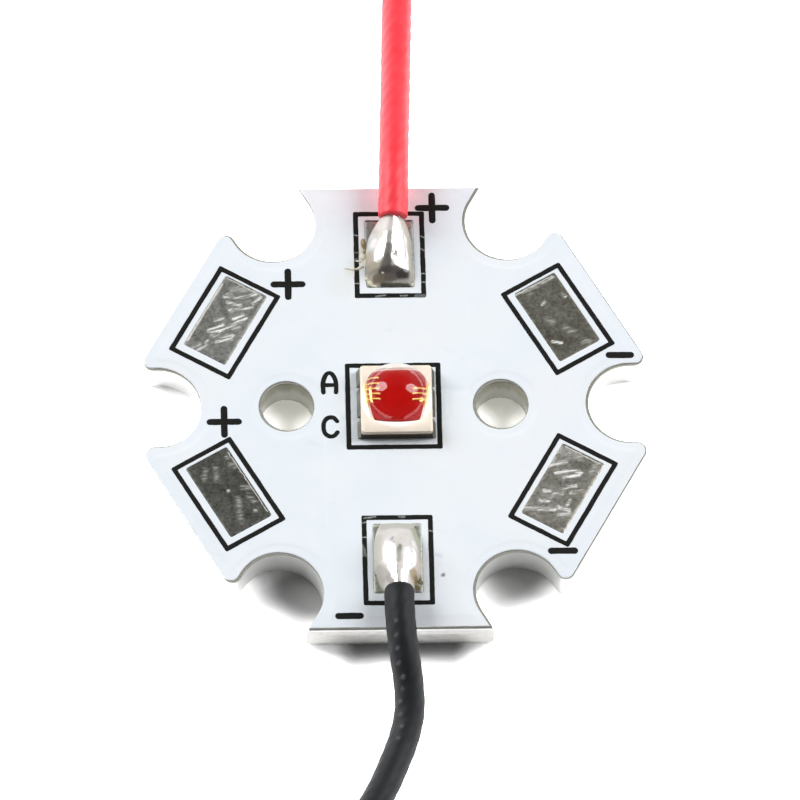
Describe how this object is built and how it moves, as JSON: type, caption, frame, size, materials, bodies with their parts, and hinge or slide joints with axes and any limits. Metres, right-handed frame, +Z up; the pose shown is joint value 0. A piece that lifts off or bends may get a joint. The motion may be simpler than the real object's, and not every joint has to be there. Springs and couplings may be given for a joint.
{
  "type": "led array",
  "caption": "White six-sided star circuit board on an aluminium core with a square red LED under a clear dome, tinned pads, screw slots and a soldered red and black lead.",
  "frame": {"origin": "centre of the board's underside, on the face that rests on a heat sink", "axes": "+Z up out of the printed face through the dome, +Y to the rear scored edge where the red lead leaves, +X to the right, where the minus pads are"},
  "size_m": [0.0233, 0.0714, 0.0036],
  "materials": {
    "aluminium": "routed and snapped edges, satin",
    "dielectric": "matte",
    "copper": "satin",
    "white_mask": "satin",
    "black_print": "matte ink",
    "tin_finish": "scratched satin",
    "solder": "bright",
    "led_terminal": "satin",
    "led_ceramic": "matte",
    "led_gold": "bright",
    "led_white": "matte",
    "led_die": "satin",
    "led_clear": "clear silicone",
    "red_insulation": "satin",
    "black_insulation": "satin",
    "tinned_strands": "satin"
  },
  "bodies": {
    "root": {"aluminium_base": "aluminium", "dielectric_layer": "dielectric", "copper_anode": "copper", "copper_cathode": "copper", "copper_thermal": "copper", "solder_mask": "white_mask", "legend_print": "black_print", "pad_plus_rear": "tin_finish", "pad_plus_left_rear": "tin_finish", "pad_plus_left_front": "tin_finish", "pad_minus_front": "tin_finish", "pad_minus_right_rear": "tin_finish", "pad_minus_right_front": "tin_finish", "led_solder_anode": "solder", "led_solder_thermal": "solder", "led_solder_cathode": "solder", "led_terminal_anode": "led_terminal", "led_terminal_thermal": "led_terminal", "led_terminal_cathode": "led_terminal", "led_substrate": "led_ceramic", "led_top_metal": "led_gold", "led_reflector": "led_white", "led_die": "led_die", "led_bond_wires": "led_gold", "led_lens": "led_clear", "solder_joint_red": "solder", "solder_joint_black": "solder", "red_conductor_end": "tinned_strands", "black_conductor_end": "tinned_strands", "red_lead": "red_insulation", "red_lead_coil": "red_insulation", "red_lead_tip": "tinned_strands", "black_lead": "black_insulation", "black_lead_coil": "black_insulation", "black_lead_tip": "tinned_strands"}
  },
  "joints": []
}
